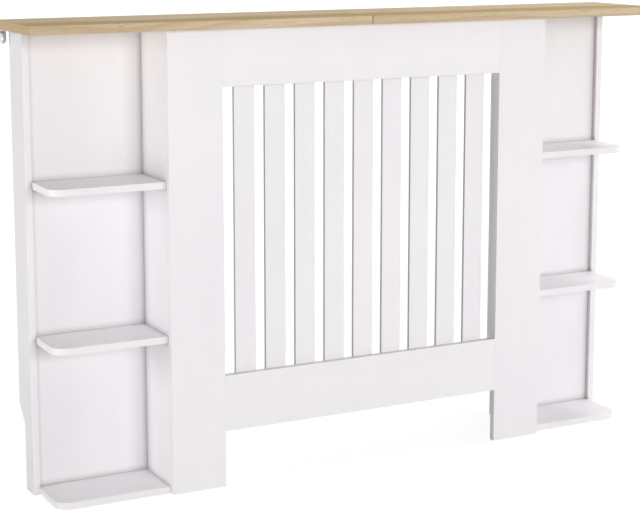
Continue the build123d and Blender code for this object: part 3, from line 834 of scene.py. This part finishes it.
FLOOR_HALF = 30.0
FLOOR_DROP = 0.2 * mm
floor_edges = np.array([-FLOOR_HALF, FLOOR_HALF])
floor_x, floor_y = (axis.ravel() for axis in np.meshgrid(floor_edges, floor_edges))
floor_points = np.stack([floor_x, floor_y, np.full_like(floor_x, -FLOOR_DROP)], 1)
floor_mesh = bpy.data.meshes.new("floor")
floor_mesh.from_pydata(floor_points.tolist(), [], [(0, 1, 3, 2)])
floor = bpy.data.objects.new("floor", floor_mesh)
scene.collection.objects.link(floor)


def seen_rays(tree):
    """1 for rays that go on to show the background: straight, by reflection or through glass."""
    rays = add(tree, "ShaderNodeLightPath").outputs
    seen = math_node(tree, "MAXIMUM", rays["Is Camera Ray"], rays["Is Glossy Ray"])
    return math_node(tree, "MAXIMUM", seen, rays["Is Transmission Ray"])


FLOOR_PAINT = shade(228, 228, 229)
FLOOR_ROUGH = 0.9
FLOOR_SHOWS_SHADOW = 0.2
FLOOR_GLOW = 1.12
SHADOW_NEAR = 1.1
SHADOW_GONE = 2.2
floor_material, floor_tree, floor_shader = surface("pale_floor")
floor_shader.inputs["Base Color"].default_value = FLOOR_PAINT
floor_shader.inputs["Roughness"].default_value = FLOOR_ROUGH
floor_shader.inputs["Specular IOR Level"].default_value = 0.0
white = add(floor_tree, "ShaderNodeEmission", {"Color": (1, 1, 1, 1), "Strength": FLOOR_GLOW})
from_middle = add(floor_tree, "ShaderNodeVectorMath", {0: object_position(floor_tree)},
                  operation="LENGTH").outputs["Value"]
evenly_white = ramp(floor_tree, from_middle, SHADOW_NEAR, SHADOW_GONE, 1 - FLOOR_SHOWS_SHADOW, 1.0)
keep_white = math_node(floor_tree, "MULTIPLY", seen_rays(floor_tree), evenly_white)
floor_mix = add(floor_tree, "ShaderNodeMixShader",
                {0: keep_white, 1: floor_shader.outputs[0], 2: white.outputs[0]})
floor_tree.links.new(floor_mix.outputs[0], floor_tree.nodes["Material Output"].inputs["Surface"])
floor_mesh.materials.append(floor_material)

ROOM_IN_FRONT = 0.25
ROOM_BEHIND = 0.22
ROOM_ON_RIGHT = 0.30
FRONT_TO_BACK = (-0.5, 0.5)
TO_THE_RIGHT = (-0.3, 0.7)
world = bpy.data.worlds.new("room")
scene.world = world
world.use_nodes = True
room = world.node_tree
way = add(room, "ShaderNodeTexCoord").outputs["Generated"]
ways = add(room, "ShaderNodeSeparateXYZ", {0: way}).outputs
level = ramp(room, ways["Y"], *FRONT_TO_BACK, ROOM_IN_FRONT, ROOM_BEHIND)
right = ramp(room, ways["X"], *TO_THE_RIGHT, 0.0, ROOM_ON_RIGHT)
light = math_node(room, "ADD", level, right)
strength = math_node(room, "MAXIMUM", seen_rays(room), light)
background = room.nodes["Background"]
background.inputs["Color"].default_value = (1, 1, 1, 1)
room.links.new(strength, background.inputs["Strength"])


def lamp(name, place, target, width, height, power):
    """A soft rectangular lamp at place, turned to target, that the camera doesn't see."""
    source = bpy.data.lights.new(name, "AREA")
    source.shape = "RECTANGLE"
    source.size = width
    source.size_y = height
    source.energy = power
    made = bpy.data.objects.new(name, source)
    made.location = place
    made.rotation_mode = "QUATERNION"
    made.rotation_quaternion = (Vector(target) - Vector(place)).to_track_quat("-Z", "Y")
    made.visible_camera = False
    scene.collection.objects.link(made)


lamp("front_lamp", place=(0.0, -6.0, 1.5), target=(0.0, 0.0, 0.4), width=3.0, height=2.0, power=165.0)
lamp("high_lamp", place=(3.0, -1.0, 2.2), target=(0.3, 0.0, 0.4), width=2.0, height=1.5, power=20.0)
lamp("left_lamp", place=(-2.5, -0.06, 0.6), target=(-0.4, -0.05, 0.4), width=0.5, height=1.0, power=19.0)
lamp("over_lamp", place=(1.4, 0.35, 3.4), target=(0.3, 0.05, 0.8), width=1.6, height=0.3, power=35.0)
lamp("back_lamp", place=(1.2, 4.5, 0.3), target=(0.0, 0.0, 0.4), width=3.0, height=0.3, power=75.0)

EYE = Vector((-1.4347, -2.6435, 0.9819))
HEADING = math.radians(27.605)
DIP = math.radians(9.230)
LENS = 94.7
SHIFT = -0.115
onward = math.cos(DIP)
ahead = Vector((math.sin(HEADING) * onward, math.cos(HEADING) * onward, -math.sin(DIP)))
camera = bpy.data.cameras.new("camera")
camera.lens = LENS
camera.shift_y = SHIFT
eye = bpy.data.objects.new("camera", camera)
eye.location = EYE
eye.rotation_mode = "QUATERNION"
eye.rotation_quaternion = ahead.to_track_quat("-Z", "Y")
scene.collection.objects.link(eye)
scene.camera = eye

scene.view_settings.view_transform = "Standard"
